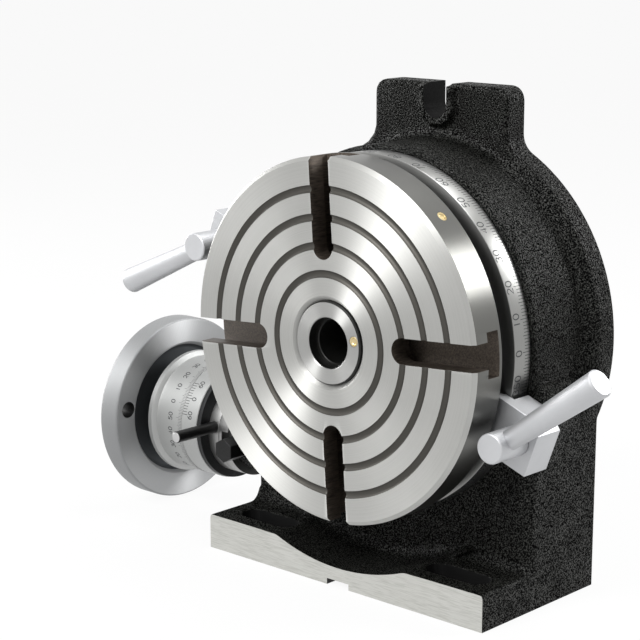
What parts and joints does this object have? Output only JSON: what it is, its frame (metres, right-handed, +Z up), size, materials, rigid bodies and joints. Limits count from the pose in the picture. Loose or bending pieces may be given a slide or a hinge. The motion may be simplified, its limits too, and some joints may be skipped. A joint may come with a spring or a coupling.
{
  "type": "rotary table",
  "caption": "Horizontal and vertical rotary table with T slots, worm drive, graduated ring and dial, table clamps and a foot for standing it upright.",
  "frame": {"origin": "centre of the table's face, at the mouth of the centre bore", "axes": "-Y out of the table's face along its axis, +X to the right seen from the front, +Z up"},
  "size_m": [0.3766, 0.1265, 0.2725],
  "materials": {
    "black_casting": "black textured enamel",
    "turned_iron": "face turned, bright",
    "bright_steel": "turned",
    "dial_steel": "satin chromed",
    "handwheel_steel": "satin turned",
    "satin_steel": "satin chromed",
    "ground_steel": "ground",
    "black_steel": "black oxide",
    "bronze": "machined",
    "brass": "polished"
  },
  "bodies": {
    "base": {"base_casting": "black_casting", "rear_cover": "black_casting", "rear_cover_screws": "black_steel", "spindle_bush": "bronze", "thrust_washer": "bronze", "index_collar": "bright_steel", "index_collar_screws": "black_steel"},
    "table": {"rotary_table": "turned_iron", "graduated_ring": "bright_steel", "centre_sleeve": "ground_steel", "sleeve_oiler": "brass", "rim_oiler": "brass", "worm_wheel": "bronze", "worm_wheel_screws": "black_steel", "spindle_nut": "black_steel", "spindle_nut_screws": "black_steel"},
    "worm_carrier": {"eccentric_sleeve": "bright_steel", "sleeve_bush_left": "bronze", "sleeve_bush_right": "bronze", "dial_backplate": "black_steel", "backplate_screws": "black_steel", "vernier_ring": "dial_steel", "engagement_rod": "black_steel"},
    "worm_drive": {"worm_shaft": "ground_steel", "worm": "ground_steel", "worm_collar": "ground_steel", "handwheel": "handwheel_steel", "handwheel_key": "ground_steel", "handwheel_nut": "black_steel"},
    "dial": {"graduated_dial": "dial_steel", "dial_spring": "ground_steel"},
    "lock": {"lock_screw": "black_steel"},
    "right_clamp": {"right_clamp_block": "satin_steel"},
    "right_clamp_handle": {"right_clamp_screw": "satin_steel", "right_clamp_lever": "satin_steel"},
    "left_clamp": {"left_clamp_block": "satin_steel"},
    "left_clamp_handle": {"left_clamp_screw": "satin_steel", "left_clamp_lever": "satin_steel"}
  },
  "joints": [
    {"name": "table_turn", "type": "hinge", "parent": "base", "child": "table", "pos_m": [0, 0, 0], "axis": [0, 1, 0], "continuous": true},
    {"name": "worm_engage", "type": "hinge", "parent": "base", "child": "worm_carrier", "pos_m": [0, 0.069, -0.0845], "axis": [1, 0, 0], "range_deg": [-130, 0]},
    {"name": "worm_spin", "type": "hinge", "parent": "worm_carrier", "child": "worm_drive", "pos_m": [0, 0.069, -0.0822], "axis": [1, 0, 0], "continuous": true},
    {"name": "dial_set", "type": "hinge", "parent": "worm_drive", "child": "dial", "pos_m": [-0.1657, 0.069, -0.0822], "axis": [1, 0, 0], "continuous": true},
    {"name": "lock_turn", "type": "hinge", "parent": "base", "child": "lock", "pos_m": [-0.1155, 0.04, -0.0896], "axis": [0, 1, 0], "range_deg": [-90, 0]},
    {"name": "right_clamp_slide", "type": "slide", "parent": "base", "child": "right_clamp", "axis": [0, 1, 0], "range_m": [-0.0002, 0.00045]},
    {"name": "right_clamp_turn", "type": "hinge", "parent": "right_clamp", "child": "right_clamp_handle", "pos_m": [0.10665, 0.01465, -0.03882], "axis": [0, 1, 0], "range_deg": [-30, 100]},
    {"name": "left_clamp_slide", "type": "slide", "parent": "base", "child": "left_clamp", "axis": [0, 1, 0], "range_m": [-0.0002, 0.00045]},
    {"name": "left_clamp_turn", "type": "hinge", "parent": "left_clamp", "child": "left_clamp_handle", "pos_m": [-0.10665, 0.01465, 0.03882], "axis": [0, 1, 0], "range_deg": [-30, 100]}
  ],
  "couplings": [
    {"joint": "worm_spin", "follows": "table_turn", "ratio": 90},
    {"joint": "right_clamp_slide", "follows": "right_clamp_turn", "m_per_rad": 0.00023873},
    {"joint": "left_clamp_slide", "follows": "left_clamp_turn", "m_per_rad": 0.00023873}
  ]
}
